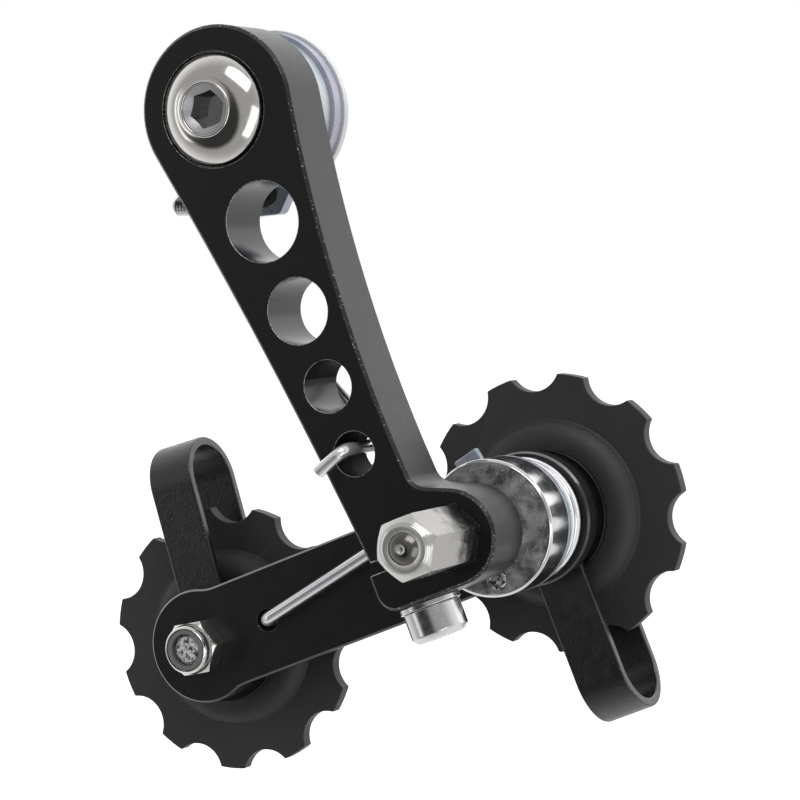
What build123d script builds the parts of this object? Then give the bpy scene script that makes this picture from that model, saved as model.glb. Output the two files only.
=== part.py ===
from build123d import *
import math
import os

# Bicycle chain tensioner, in millimetres.
# The origin is on the mounting bolt's axis where its rear washer meets the frame hanger.
# +X points forward along the bicycle, +Y inwards to the wheel and +Z up.

# Clearances between pieces
FLAT_GAP = 0.05
RUN_FIT = 0.05
STILL_FIT = 0.02
OPEN_GAP = 0.3

# Stack on the mounting bolt, from the hanger outwards
WASHER_T = 1.25
STOP_PLATE_T = 2.4
SPACER_T = 5.0
ARM_T = 10.1
BOLT_R = 5.0
SHOULDER_R = 6.0
BOLT_FREE = 10.0
HEAD_R = 7.9
HEAD_RECESS_R = 8.4
HEAD_RECESS = 0.8
HEAD_PROUD = 0.3
HEAD_DOME = 2.0
HEAD_SHOULDER_R = 6.25
HEAD_SHOULDER = 1.1
SOCKET_AF = 5.0
SOCKET_TURN = 18
SOCKET_RIM_R = 4.0
SOCKET_RIM_W = 0.4
SOCKET_RIM_H = 0.25
SOCKET_MOUTH_R = 3.6
SOCKET_MOUTH = 1.1
SOCKET_DEPTH = 3.6
THREAD_LEAD = 0.8
WASHER_R = 12.4
STOP_PLATE_R = 12.0
SPACER_R = 11.4

# Arm outline, seen from the outer side
ARM_TOP_X = 0.4
ARM_TOP_R = 12.3
ARM_TOP_TURN = 100
ARM_LEFT_TURN = 213.4
ARM_RIGHT_TURN = 11.4
ARM_CHAMFER = 0.45
HOLES = [(8.0, -16.2, 5.9), (13.7, -29.0, 4.85), (18.5, -39.7, 3.8), (22.7, -49.2, 3.25)]

# Foot of the arm, round the pivot axle
PIVOT_X = 37.7
PIVOT_Z = -60.5
FOOT_TILT = 22.5
FOOT_R = 6.9
LIP_LENGTH = 14.2
JAW_LENGTH = 13.4
LIP_CORNER_R = 3.0
NECK_X = 31.9
NECK_FILLET = 3.0
SLIT_W = 1.8

# Pinch screw, M5
PINCH_R = 2.5
PINCH_OFFSET = 9.0
PINCH_HEAD_R = 4.25
PINCH_HEAD_H = 4.6
PINCH_HEAD_BEVEL = 0.8
PINCH_SOCKET_AF = 4.0
PINCH_SOCKET_DEPTH = 2.3
PINCH_DEPTH = 5.6
PINCH_WASHER_R = 4.55
PINCH_WASHER_T = 0.8

# Stop plate's foot and tab, its M3 stop screw and its M4 lock screw
FOOT_Z = -15.1
FOOT_RIGHT_X = 2.6
FOOT_SHOULDER = (5.6, -9.3)
FOOT_CORNER_R = 1.0
TAB_LEFT = -8.7
TAB_T = 2.2
TAB_TOP_Z = -10.5
TAB_FOOT_Z = -16.1
STOP_SCREW_R = 1.5
STOP_SCREW_L = 9.0
STOP_SCREW_TIP_X = -14.0
STOP_SCREW_Z = -13.85
STOP_KEY_AF = 1.5
LOCK_SCREW_R = 2.0
LOCK_SCREW_Z = -11.9
LOCK_SCREW_SINK = 0.3
LOCK_KEY_AF = 2.0
LOCK_KEY_DEPTH = 1.2
SCREW_CHAMFER = 0.4

# Pivot axle
HEX_AF = 8.4
HEX_FREE = 14.9
AXLE_R = 4.0
AXLE_BEVEL = 1.3
AXLE_BEVEL_L = 1.2
PIP_R = 2.4
PIP_TOP_R = 0.9
PIP_H = 0.9
PILOT_R = 0.4
PILOT_DEPTH = 1.0

# Spring collar and anchor washer
COLLAR_GAP = 2.8
COLLAR_R = 10.05
COLLAR_T = 6.3
COLLAR_RIM = 0.35
COLLAR_SCREW_R = 1.5
COLLAR_SCREW_PROUD = 0.3
COLLAR_SCREW_OFFSET = 7.5
COLLAR_SCREW_TURN = -79
ANCHOR_T = 1.1
ANCHOR_LUG_W = 4.2
ANCHOR_LUG_R = 11.9
ANCHOR_LUG_TURN = 124

# Torsion spring
WIRE_R = 0.95
WIRE_BEND = 1.7
COIL_R = 8.5
COIL_PITCH = 1.95
COIL_TURNS = 2
LEG_CLEAR = 8.6
HAIRPIN = ((17.9, -33.9), (9.9, -36.6))
HAIRPIN_GAP = 0.3
HOOK_LEG = (21.6, -48.6)
HOOK_END = (17.6, -51.9)
TAIL_OUT = 0.8

# Cage plate
CAGE_GAP = 6.4
CAGE_T = 3.0
CAGE_TURN = 201.9
PULLEY_SPACING = 60.4
CAGE_HALF_W = 8.0
CAGE_PIVOT_R = 10.1
CAGE_END_R = 9.0
CAGE_NECK_R = 7.0
SPRING_HOLE_R = 1.75
SPRING_HOLE_REACH = 47.5
CAGE_CHAMFER = 0.3
FLANGE_T = 0.9
BUSH_PROUD = 0.4

# Chain keepers
KEEPER_T = 1.4
KEEPER_DEPTH = 14.0
KEEPER_W = 7.8
KEEPER_REACH = 32.5
GUIDE_KEEPER_TURN = -67.2
TENSION_KEEPER_TURN = 107.0
KEEPER_EYE_R = 7.0

# Chain pulleys: eleven teeth on the half-inch chain pitch
CHAIN_PITCH = 12.7
TEETH = 11
ROLLER_ROOT = 3.95
SEAT_R = 4.4
TIP_R = 21.2
TOOTH_W = 2.3
DISH_R = 14.2
DISH_TOP_R = 10.6
DISH_RISE = 2.1
DISH_BULGE_R = 12.9
DISH_BULGE = 1.45
GUIDE_PHASE = 147.7
TENSION_PHASE = 73.7
BUSH_WALL = 1.5
CAP_R = 9.9
CAP_RIM_R = 9.0
CAP_T = 0.8
CAP_BOSS_R = 6.6

# Fasteners of the cage
CAGE_BOLT_R = 2.5
CAGE_HEAD_R = 4.25
CAGE_HEAD_H = 3.0
CAGE_KEY_AF = 3.0
CAGE_KEY_DEPTH = 1.5
CAGE_BOLT_SINK = 0.7
NUT_AF = 8.0
NUT_TURN = 12
NUT_H = 3.3
NUT_COLLAR_R = 3.75
NUT_COLLAR_H = 1.6
NUT_BEVEL = 0.6
NUT_COLLAR_BEVEL = 0.35
NUT_INSERT_R = 3.2
NUT_INSERT_T = 1.1
NUT_INSERT_SINK = 0.1
END_NUT_AF = 13.0
END_NUT_H = 4.5
END_NUT_BEVEL = 0.8

# Places worked out from the sizes above
washer_front = -WASHER_T
stop_plate_rear = washer_front - FLAT_GAP
stop_plate_front = stop_plate_rear - STOP_PLATE_T
spacer_rear = stop_plate_front - FLAT_GAP
spacer_front = spacer_rear - SPACER_T
arm_rear = spacer_front - FLAT_GAP
arm_front = arm_rear - ARM_T
arm_middle = (arm_front + arm_rear) / 2
collar_front = arm_rear + COLLAR_GAP
collar_rear = collar_front + COLLAR_T
anchor_front = collar_rear + FLAT_GAP
anchor_rear = anchor_front + ANCHOR_T
cage_front = anchor_rear + CAGE_GAP
cage_rear = cage_front + CAGE_T
keeper_front = cage_rear + FLANGE_T + FLAT_GAP
pulley_middle = keeper_front + KEEPER_DEPTH / 2
keeper_rear = keeper_front + KEEPER_DEPTH
bay_front = keeper_front + KEEPER_T + FLAT_GAP
bay_rear = keeper_rear - KEEPER_T - FLAT_GAP
cap_inner = TOOTH_W / 2 + DISH_RISE + OPEN_GAP
end_nut_front = keeper_rear + FLAT_GAP
end_nut_rear = end_nut_front + END_NUT_H
spring_rear = cage_front - OPEN_GAP - WIRE_R
nut_rear = cage_front - FLAT_GAP
nut_front = nut_rear - NUT_H - NUT_COLLAR_H
tab_front = arm_rear + OPEN_GAP
screw_depth = (tab_front + stop_plate_front) / 2
cage_bush_r = AXLE_R + RUN_FIT + BUSH_WALL
tension_bush_r = CAGE_BOLT_R + STILL_FIT + BUSH_WALL
pitch_r = CHAIN_PITCH / 2 / math.sin(math.pi / TEETH)
root_r = pitch_r - ROLLER_ROOT


def polar(centre, radius, turn):
    """Point at a radius and an angle from a centre, the angle counted from +X towards +Z."""
    angle = math.radians(turn)
    return (centre[0] + radius * math.cos(angle), centre[1] + radius * math.sin(angle))


pivot = (PIVOT_X, PIVOT_Z)
tension = polar(pivot, PULLEY_SPACING, CAGE_TURN)


def slab(face, front, rear):
    """Extrude a face drawn in X and Z between two depths."""
    plane = Plane((0, rear, 0), x_dir=(1, 0, 0), z_dir=(0, -1, 0))
    return extrude(plane * face, amount=rear - front)


def disc(centre, radius, front, rear, bore=0.0):
    """Round plate about an axis along Y, with a bore if one is given."""
    face = Circle(radius)
    if bore:
        face = face - Circle(bore)
    return slab(Pos(*centre) * face, front, rear)


def turned(centre, profile):
    """Turn a closed profile of (radius, depth) points about an axis along Y."""
    outline = Polyline(*profile, close=True)
    return Pos(centre[0], 0, centre[1]) * revolve(make_face(outline), Axis.Y)


def hexagon(across_flats, first_corner):
    """Hexagon with a corner at the given angle."""
    return Rot(0, 0, first_corner) * RegularPolygon(across_flats / math.sqrt(3), 6)


def foot_point(along, up):
    """Point in the foot's own tilted frame about the pivot axis."""
    start = polar(pivot, along, FOOT_TILT)
    return polar(start, up, FOOT_TILT + 90)


def foot_face(width, height, along, up):
    """Rectangle in the foot's frame, by its centre."""
    return Pos(*foot_point(along, up)) * Rot(0, 0, FOOT_TILT) * Rectangle(width, height)


def arm_face():
    """Outline of the arm: round top, tapering shank, and foot round the axle."""
    top = (ARM_TOP_X, 0)
    left_start = polar(top, ARM_TOP_R, ARM_LEFT_TURN)
    right_start = polar(top, ARM_TOP_R, ARM_RIGHT_TURN)
    jaw = foot_point(-JAW_LENGTH, SLIT_W / 2)
    lip = foot_point(-LIP_LENGTH, -SLIT_W / 2)
    corner = foot_point(-LIP_LENGTH, -FOOT_R)
    under = foot_point(0, -FOOT_R)
    crown = polar(pivot, FOOT_R, 90)
    neck = (NECK_X, crown[1])
    outline = [
        TangentArc(left_start, jaw, tangent=polar((0, 0), 1, ARM_LEFT_TURN + 90)),
        Line(jaw, lip),
        Line(lip, corner),
        Line(corner, under),
        ThreePointArc(under, polar(pivot, FOOT_R, 0), crown),
        Line(crown, neck),
        TangentArc(right_start, neck, tangent=polar((0, 0), 1, ARM_RIGHT_TURN - 90)),
        ThreePointArc(right_start, polar(top, ARM_TOP_R, ARM_TOP_TURN), left_start),
    ]
    face = make_face(Curve() + outline)
    face = fillet(nearest(face, corner), LIP_CORNER_R)
    return fillet(nearest(face, neck), NECK_FILLET)


def nearest(face, point):
    """The face's corner that is nearest a point."""
    return min(face.vertices(), key=lambda corner: math.dist((corner.X, corner.Y), point))


def screw_axis(along, up, depth):
    """Plane on the pinch screw's axis, its normal pointing up the foot."""
    x, z = foot_point(along, up)
    tilt = math.radians(FOOT_TILT)
    normal = (-math.sin(tilt), 0, math.cos(tilt))
    return Plane((x, depth, z), x_dir=(0, 1, 0), z_dir=normal)


def make_arm():
    """Arm milled from one bar, slit at the foot so that the pinch screw can clamp the axle."""
    arm = slab(arm_face(), arm_front, arm_rear)
    rims = [arm.faces().sort_by(Axis.Y)[0], arm.faces().sort_by(Axis.Y)[-1]]
    arm = chamfer([edge for rim in rims for edge in rim.edges()], ARM_CHAMFER)
    for x, z, radius in HOLES:
        arm -= disc((x, z), radius, arm_front, arm_rear)
    arm -= disc((0, 0), SHOULDER_R + RUN_FIT, arm_front, arm_rear)
    arm -= disc((0, 0), HEAD_RECESS_R, arm_front, arm_front + HEAD_RECESS)
    socket = Pos(*pivot) * hexagon(HEX_AF + 2 * RUN_FIT, FOOT_TILT)
    arm -= slab(socket, arm_front, arm_rear)
    slit = foot_face(2 * LIP_LENGTH, SLIT_W, -LIP_LENGTH, 0)
    arm -= slab(slit, arm_front, arm_rear)
    drill = screw_axis(-PINCH_OFFSET, -FOOT_R, arm_middle)
    arm -= drill * extrude(Circle(PINCH_R + STILL_FIT), FOOT_R + PINCH_DEPTH)
    return arm


def make_mounting_bolt():
    """Domed shoulder bolt with a rimmed hexagon socket; its thread screws into the hanger."""
    seat = arm_front + HEAD_RECESS
    edge = arm_front - HEAD_PROUD
    crown = edge - HEAD_DOME
    top = crown - SOCKET_RIM_H
    rim_r = SOCKET_RIM_R + SOCKET_RIM_W
    profile = [
        Polyline((0, seat), (HEAD_R, seat), (HEAD_R, edge)),
        ThreePointArc((HEAD_R, edge), (HEAD_SHOULDER_R, edge - HEAD_SHOULDER), (rim_r, crown)),
        Polyline((rim_r, crown), (SOCKET_RIM_R, top), (0, top), (0, seat)),
    ]
    head = revolve(make_face(Curve() + profile), Axis.Y)
    thread = disc((0, 0), BOLT_R, seat, BOLT_FREE)
    thread = chamfer(thread.edges().sort_by(Axis.Y)[-1], THREAD_LEAD)
    bolt = head + disc((0, 0), SHOULDER_R, seat, 0) + thread
    key = hexagon(SOCKET_AF, SOCKET_TURN)
    mouth = turned((0, 0), [(0, top), (SOCKET_MOUTH_R, top), (SOCKET_AF / 2, top + SOCKET_MOUTH),
                            (0, top + SOCKET_MOUTH)])
    return bolt - mouth - slab(key, top, crown + SOCKET_DEPTH)


def make_stop_plate():
    """Round plate with a foot, whose left end is bent forwards as a tab, tapped for the stop screw."""
    corner = (FOOT_RIGHT_X, FOOT_Z)
    foot = make_face(Polyline((TAB_LEFT, 0), (TAB_LEFT, TAB_FOOT_Z), corner, FOOT_SHOULDER, (0, 0), close=True))
    face = Circle(STOP_PLATE_R) + fillet(nearest(foot, corner), FOOT_CORNER_R)
    plate = slab(face - Circle(SHOULDER_R + RUN_FIT), stop_plate_front, stop_plate_rear)
    tab_x = TAB_LEFT + TAB_T / 2
    tab = Pos(tab_x, (TAB_TOP_Z + TAB_FOOT_Z) / 2) * Rectangle(TAB_T, TAB_TOP_Z - TAB_FOOT_Z)
    plate += slab(tab & foot, tab_front, stop_plate_rear)
    plate -= disc((0, LOCK_SCREW_Z), LOCK_SCREW_R + STILL_FIT, stop_plate_front, stop_plate_rear)
    rim_r = LOCK_SCREW_R + STILL_FIT + LOCK_SCREW_SINK
    plate -= turned((0, LOCK_SCREW_Z), [(0, stop_plate_front), (rim_r, stop_plate_front),
                                        (rim_r - LOCK_SCREW_SINK, stop_plate_front + LOCK_SCREW_SINK),
                                        (0, stop_plate_front + LOCK_SCREW_SINK)])
    hole = Cylinder(STOP_SCREW_R + RUN_FIT, 3 * TAB_T)
    return plate - Pos(tab_x, screw_depth, STOP_SCREW_Z) * Rot(0, 90, 0) * hole


def make_stop_screw():
    """Grub screw whose tip bears on the frame's stop."""
    length = STOP_SCREW_L
    screw = Cylinder(STOP_SCREW_R, length)
    screw = chamfer(screw.edges().filter_by(GeomType.CIRCLE), SCREW_CHAMFER)
    key = Pos(0, 0, length / 2) * extrude(hexagon(STOP_KEY_AF, 0), -STOP_KEY_AF)
    return Pos(STOP_SCREW_TIP_X + length / 2, screw_depth, STOP_SCREW_Z) * Rot(0, 90, 0) * (screw - key)


def make_lock_screw():
    """Short grub screw in the plate's foot, which locks the plate to the washer behind it."""
    front = stop_plate_front + LOCK_SCREW_SINK
    screw = disc((0, LOCK_SCREW_Z), LOCK_SCREW_R, front, stop_plate_rear)
    key = Pos(0, LOCK_SCREW_Z) * hexagon(LOCK_KEY_AF, 0)
    return screw - slab(key, front, front + LOCK_KEY_DEPTH)


def make_pivot_axle():
    """Hexagon bar, bevelled and drilled in front, turned down to a shaft at the back."""
    hex_front = arm_front - HEX_FREE
    bar = slab(Pos(*pivot) * hexagon(HEX_AF, FOOT_TILT), hex_front, collar_front)
    corner_r = HEX_AF / math.sqrt(3)
    clear_r = HEX_AF
    bevel_rear = hex_front + AXLE_BEVEL_L
    bar = bar & turned(pivot, [(0, hex_front), (corner_r - AXLE_BEVEL, hex_front), (corner_r, bevel_rear),
                               (clear_r, bevel_rear), (clear_r, collar_front), (0, collar_front)])
    tip = hex_front - PIP_H
    pip = turned(pivot, [(0, tip), (PIP_TOP_R, tip), (PIP_R, hex_front), (0, hex_front)])
    shaft = disc(pivot, AXLE_R, collar_front, end_nut_rear)
    return bar + pip + shaft - disc(pivot, PILOT_R, tip, tip + PILOT_DEPTH)


def make_pinch_screw():
    """Cap screw that closes the foot on the axle."""
    seat = FOOT_R + PINCH_WASHER_T + 2 * FLAT_GAP
    plane = screw_axis(-PINCH_OFFSET, -seat, arm_middle)
    head = chamfer(Cylinder(PINCH_HEAD_R, PINCH_HEAD_H).edges().sort_by(Axis.Z)[0], PINCH_HEAD_BEVEL)
    head = Pos(0, 0, -PINCH_HEAD_H / 2) * head
    shank = extrude(Circle(PINCH_R), seat + PINCH_DEPTH - OPEN_GAP)
    key = Pos(0, 0, -PINCH_HEAD_H) * extrude(hexagon(PINCH_SOCKET_AF, 0), PINCH_SOCKET_DEPTH)
    return plane * (head + shank - key)


def make_pinch_washer():
    """Thin washer between the foot and the screw's head."""
    plane = screw_axis(-PINCH_OFFSET, -FOOT_R - FLAT_GAP, arm_middle)
    ring = Circle(PINCH_WASHER_R) - Circle(PINCH_R + STILL_FIT)
    return plane * extrude(ring, -PINCH_WASHER_T)


def collar_screw_place():
    return polar(pivot, COLLAR_SCREW_OFFSET, COLLAR_SCREW_TURN)


def make_spring_collar():
    """Turned steel collar on the axle, its rims bevelled."""
    bore = AXLE_R + STILL_FIT
    collar = turned(pivot, [(bore, collar_front), (COLLAR_R - COLLAR_RIM, collar_front),
                            (COLLAR_R, collar_front + COLLAR_RIM), (COLLAR_R, collar_rear),
                            (bore, collar_rear)])
    return collar - disc(collar_screw_place(), COLLAR_SCREW_R + STILL_FIT, collar_front, collar_rear)


def make_collar_screw():
    """Small screw through the collar's face that locks it to the anchor washer."""
    screw = disc(collar_screw_place(), COLLAR_SCREW_R, collar_front - COLLAR_SCREW_PROUD, collar_rear)
    return chamfer(screw.edges().filter_by(GeomType.CIRCLE).sort_by(Axis.Y)[0], COLLAR_SCREW_PROUD)


def make_anchor_washer():
    """Washer behind the collar, with one lug standing past its edge."""
    ring = Circle(COLLAR_R)
    lug = Rot(0, 0, ANCHOR_LUG_TURN) * Pos(ANCHOR_LUG_R / 2, 0) * Rectangle(ANCHOR_LUG_R, ANCHOR_LUG_W)
    face = ring + lug - Circle(AXLE_R + STILL_FIT)
    return slab(Pos(*pivot) * face, anchor_front, anchor_rear)


def spring_coil():
    """Centre line of the coils, from their rear end to their front end."""
    hook_x, hook_z, _ = HOLES[-1]
    reach = math.dist(pivot, (hook_x, hook_z))
    hook_turn = math.degrees(math.atan2(hook_z - PIVOT_Z, hook_x - PIVOT_X))
    start = hook_turn + 90 - math.degrees(math.asin(COIL_R / reach))
    end = CAGE_TURN - 90 + math.degrees(math.asin(COIL_R / SPRING_HOLE_REACH)) + 360 * COIL_TURNS
    height = COIL_PITCH * (end - start) / 360
    coil = Rot(90, 0, 0) * Helix(pitch=COIL_PITCH, height=height, radius=COIL_R, lefthand=True)
    return Pos(PIVOT_X, spring_rear, PIVOT_Z) * Rot(0, -end, 0) * coil


def make_torsion_spring():
    """Round-wire spring: a leg into the plate's hole, coils, and a hairpin leg hooked through the arm."""
    coil = spring_coil()
    hole_x, hole_z = polar(pivot, SPRING_HOLE_REACH, CAGE_TURN)
    tail = FilletPolyline((hole_x, cage_rear + TAIL_OUT, hole_z), (hole_x, spring_rear, hole_z), coil @ 0,
                          radius=WIRE_BEND)
    hook_x, hook_z = HOOK_LEG
    behind = arm_rear + WIRE_R + OPEN_GAP + HAIRPIN_GAP
    over = arm_front - WIRE_R - OPEN_GAP
    rise, fall = HAIRPIN
    hook = FilletPolyline(coil @ 1, coil @ 1 + LEG_CLEAR * (coil % 1), (rise[0], behind, rise[1]),
                          (fall[0], behind, fall[1]), (hook_x, behind, hook_z), (hook_x, over, hook_z),
                          (HOOK_END[0], over, HOOK_END[1]), radius=WIRE_BEND)
    path = Wire([*tail.edges(), *coil.edges(), *hook.edges()])
    start = Plane(tail @ 0, z_dir=tail % 0)
    return sweep(start * Circle(WIRE_R), path=path, transition=Transition.TRANSFORMED)


def make_cage_plate():
    """Flat plate from the pivot to the tension pulley."""
    middle = polar(pivot, PULLEY_SPACING / 2, CAGE_TURN)
    face = Pos(*middle) * Rot(0, 0, CAGE_TURN) * Rectangle(PULLEY_SPACING, 2 * CAGE_HALF_W)
    face += Pos(*pivot) * Circle(CAGE_PIVOT_R)
    face += Pos(*tension) * Circle(CAGE_END_R)
    ends = ((pivot, CAGE_PIVOT_R, CAGE_TURN), (tension, CAGE_END_R, CAGE_TURN + 180))
    for centre, radius, inwards in ends:
        reach = math.sqrt(radius ** 2 - CAGE_HALF_W ** 2)
        for side in (-90, 90):
            neck = polar(polar(centre, reach, inwards), CAGE_HALF_W, inwards + side)
            face = fillet(nearest(face, neck), CAGE_NECK_R)
    plate = slab(face, cage_front, cage_rear)
    rims = [plate.faces().sort_by(Axis.Y)[0], plate.faces().sort_by(Axis.Y)[-1]]
    plate = chamfer([edge for rim in rims for edge in rim.edges()], CAGE_CHAMFER)
    plate -= disc(pivot, cage_bush_r + STILL_FIT, cage_front, cage_rear)
    plate -= disc(tension, CAGE_BOLT_R + STILL_FIT, cage_front, cage_rear)
    return plate - disc(polar(pivot, SPRING_HOLE_REACH, CAGE_TURN), SPRING_HOLE_R, cage_front, cage_rear)


def make_cage_bush():
    """Flanged bush pressed into the cage plate; the cage swings on it."""
    bore = AXLE_R + RUN_FIT
    sleeve = disc(pivot, cage_bush_r, cage_front - BUSH_PROUD, cage_rear + FLANGE_T, bore)
    return sleeve + disc(pivot, KEEPER_EYE_R, cage_rear + FLAT_GAP, cage_rear + FLANGE_T, bore)


def make_tension_shim():
    """Washer between the plate and the tension pulley's keeper."""
    return disc(tension, KEEPER_EYE_R, cage_rear + FLAT_GAP, cage_rear + FLANGE_T, CAGE_BOLT_R + STILL_FIT)


def make_keeper(centre, turn, bore):
    """Strap bent over the pulley, with an eye at the foot of each leg."""
    half = KEEPER_DEPTH / 2
    arch = KEEPER_REACH - half
    outer = Pos(0, arch / 2) * Rectangle(KEEPER_DEPTH, arch) + Pos(0, arch) * Circle(half)
    inner_half = half - KEEPER_T
    inner = Pos(0, arch / 2) * Rectangle(2 * inner_half, arch) + Pos(0, arch) * Circle(inner_half)
    side_on = Plane((-KEEPER_W / 2, pulley_middle, 0), x_dir=(0, 1, 0), z_dir=(1, 0, 0))
    strap = side_on * extrude(outer - inner, KEEPER_W)
    for front in (keeper_front, keeper_rear - KEEPER_T):
        strap += disc((0, 0), KEEPER_EYE_R, front, front + KEEPER_T)
    strap -= disc((0, 0), bore, keeper_front, keeper_rear)
    return Pos(centre[0], 0, centre[1]) * Rot(0, 90 - turn, 0) * strap


def make_pulley(centre, phase, bore):
    """Eleven-tooth wheel with a raised dish on each side of its rim."""
    rim = Circle(TIP_R)
    for tooth in range(TEETH):
        turn = (tooth + 0.5) * 360 / TEETH
        rim -= Pos(*polar((0, 0), root_r + SEAT_R, turn)) * Circle(SEAT_R)
    wheel = slab(rim, pulley_middle - TOOTH_W / 2, pulley_middle + TOOTH_W / 2)
    face = TOOTH_W / 2
    top = face + DISH_RISE
    side = [Line((0, 0), (DISH_R, 0)), Line((DISH_R, 0), (DISH_R, face)),
            ThreePointArc((DISH_R, face), (DISH_BULGE_R, face + DISH_BULGE), (DISH_TOP_R, top)),
            Polyline((DISH_TOP_R, top), (0, top), (0, 0))]
    dish = revolve(make_face(Curve() + side), Axis.Y)
    dish += mirror(dish, Plane.XZ)
    wheel += Pos(0, pulley_middle, 0) * dish
    wheel -= disc((0, 0), bore, bay_front, bay_rear)
    return Pos(centre[0], 0, centre[1]) * Rot(0, -phase, 0) * wheel


def make_cap(centre, side, bore):
    """Dished cap beside the pulley, on its front (-1) or rear (+1)."""
    inner = pulley_middle + side * cap_inner
    outer = pulley_middle + side * (bay_rear - pulley_middle)
    rim = inner + side * CAP_T
    profile = [(bore, inner), (CAP_R, inner), (CAP_R, rim), (CAP_RIM_R, rim)]
    profile += [(CAP_BOSS_R, outer), (bore, outer)]
    return turned(centre, profile)


def make_pulley_bush(centre, bore, radius):
    """Sleeve between the caps, on which the pulley runs."""
    half = cap_inner - FLAT_GAP
    return disc(centre, radius, pulley_middle - half, pulley_middle + half, bore)


def make_end_nut():
    """Nut on the rear end of the axle."""
    face = Pos(*pivot) * (hexagon(END_NUT_AF, 0) - Circle(AXLE_R + STILL_FIT))
    nut = slab(face, end_nut_front, end_nut_rear)
    corner = END_NUT_AF / math.sqrt(3)
    cone = turned(pivot, [(0, end_nut_front), (corner, end_nut_front),
                          (corner, end_nut_rear - END_NUT_BEVEL), (END_NUT_AF / 2, end_nut_rear),
                          (0, end_nut_rear)])
    return nut & cone


def make_cage_bolt():
    """Cap screw through the tension pulley, its head at the back."""
    head_front = keeper_rear + FLAT_GAP
    shank = disc(tension, CAGE_BOLT_R, nut_front + CAGE_BOLT_SINK, head_front)
    shank = chamfer(shank.edges().sort_by(Axis.Y)[0], SCREW_CHAMFER)
    head = disc(tension, CAGE_HEAD_R, head_front, head_front + CAGE_HEAD_H)
    head = chamfer(head.edges().sort_by(Axis.Y)[-1], SCREW_CHAMFER)
    head_rear = head_front + CAGE_HEAD_H
    key = slab(Pos(*tension) * hexagon(CAGE_KEY_AF, 0), head_rear - CAGE_KEY_DEPTH, head_rear)
    return shank + head - key


def make_lock_nut():
    """Hexagon nut with a round collar that holds a nylon ring."""
    bore = CAGE_BOLT_R + STILL_FIT
    hex_front = nut_rear - NUT_H
    nut = slab(Pos(*tension) * hexagon(NUT_AF, NUT_TURN), hex_front, nut_rear)
    corner = NUT_AF / math.sqrt(3)
    cone = turned(tension, [(0, nut_rear), (corner, nut_rear), (corner, hex_front + NUT_BEVEL),
                            (NUT_AF / 2, hex_front), (0, hex_front)])
    nut = (nut & cone) + disc(tension, NUT_COLLAR_R, nut_front, hex_front)
    nut = chamfer(nut.edges().filter_by(GeomType.CIRCLE).sort_by(Axis.Y)[0], NUT_COLLAR_BEVEL)
    nut -= disc(tension, bore, nut_front, nut_rear)
    return nut - disc(tension, NUT_INSERT_R + STILL_FIT, nut_front, nut_front + NUT_INSERT_T + STILL_FIT)


def make_nut_insert():
    """Nylon ring in the lock nut's collar."""
    bore = CAGE_BOLT_R + STILL_FIT
    return disc(tension, NUT_INSERT_R, nut_front + NUT_INSERT_SINK, nut_front + NUT_INSERT_T, bore)


def make_hanger_washer():
    """Large washer that bears on the hanger."""
    return disc((0, 0), WASHER_R, washer_front, 0, SHOULDER_R + STILL_FIT)


def make_swivel_spacer():
    """Spacer between the arm and the stop plate."""
    return disc((0, 0), SPACER_R, spacer_front, spacer_rear, SHOULDER_R + STILL_FIT)


def export(name, shape):
    """Write one piece, named after its node."""
    solid = shape.solids()[0] if len(shape.solids()) == 1 else shape
    solid.label = name
    export_step(solid, os.path.join("parts", name + ".step"))


axle_bore = AXLE_R + RUN_FIT
bolt_bore = CAGE_BOLT_R + STILL_FIT
pieces = {
    "mounting_bolt": make_mounting_bolt(),
    "hanger_washer": make_hanger_washer(),
    "stop_plate": make_stop_plate(),
    "stop_screw": make_stop_screw(),
    "lock_screw": make_lock_screw(),
    "swivel_spacer": make_swivel_spacer(),
    "arm": make_arm(),
    "pinch_screw": make_pinch_screw(),
    "pinch_washer": make_pinch_washer(),
    "pivot_axle": make_pivot_axle(),
    "spring_collar": make_spring_collar(),
    "collar_screw": make_collar_screw(),
    "anchor_washer": make_anchor_washer(),
    "torsion_spring": make_torsion_spring(),
    "cage_plate": make_cage_plate(),
    "cage_bush": make_cage_bush(),
    "tension_shim": make_tension_shim(),
    "guide_keeper": make_keeper(pivot, GUIDE_KEEPER_TURN, axle_bore + STILL_FIT),
    "tension_keeper": make_keeper(tension, TENSION_KEEPER_TURN, bolt_bore),
    "guide_pulley": make_pulley(pivot, GUIDE_PHASE, cage_bush_r + RUN_FIT),
    "tension_pulley": make_pulley(tension, TENSION_PHASE, tension_bush_r + RUN_FIT),
    "guide_bush": make_pulley_bush(pivot, axle_bore, cage_bush_r),
    "tension_bush": make_pulley_bush(tension, bolt_bore, tension_bush_r),
    "guide_cap_front": make_cap(pivot, -1, axle_bore),
    "guide_cap_rear": make_cap(pivot, 1, axle_bore),
    "tension_cap_front": make_cap(tension, -1, bolt_bore),
    "tension_cap_rear": make_cap(tension, 1, bolt_bore),
    "axle_end_nut": make_end_nut(),
    "cage_bolt": make_cage_bolt(),
    "lock_nut": make_lock_nut(),
    "nut_insert": make_nut_insert(),
}
os.makedirs("parts", exist_ok=True)
for name, shape in pieces.items():
    export(name, shape)
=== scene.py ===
import math

import bmesh
import bpy
from mathutils import Matrix, Vector


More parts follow.
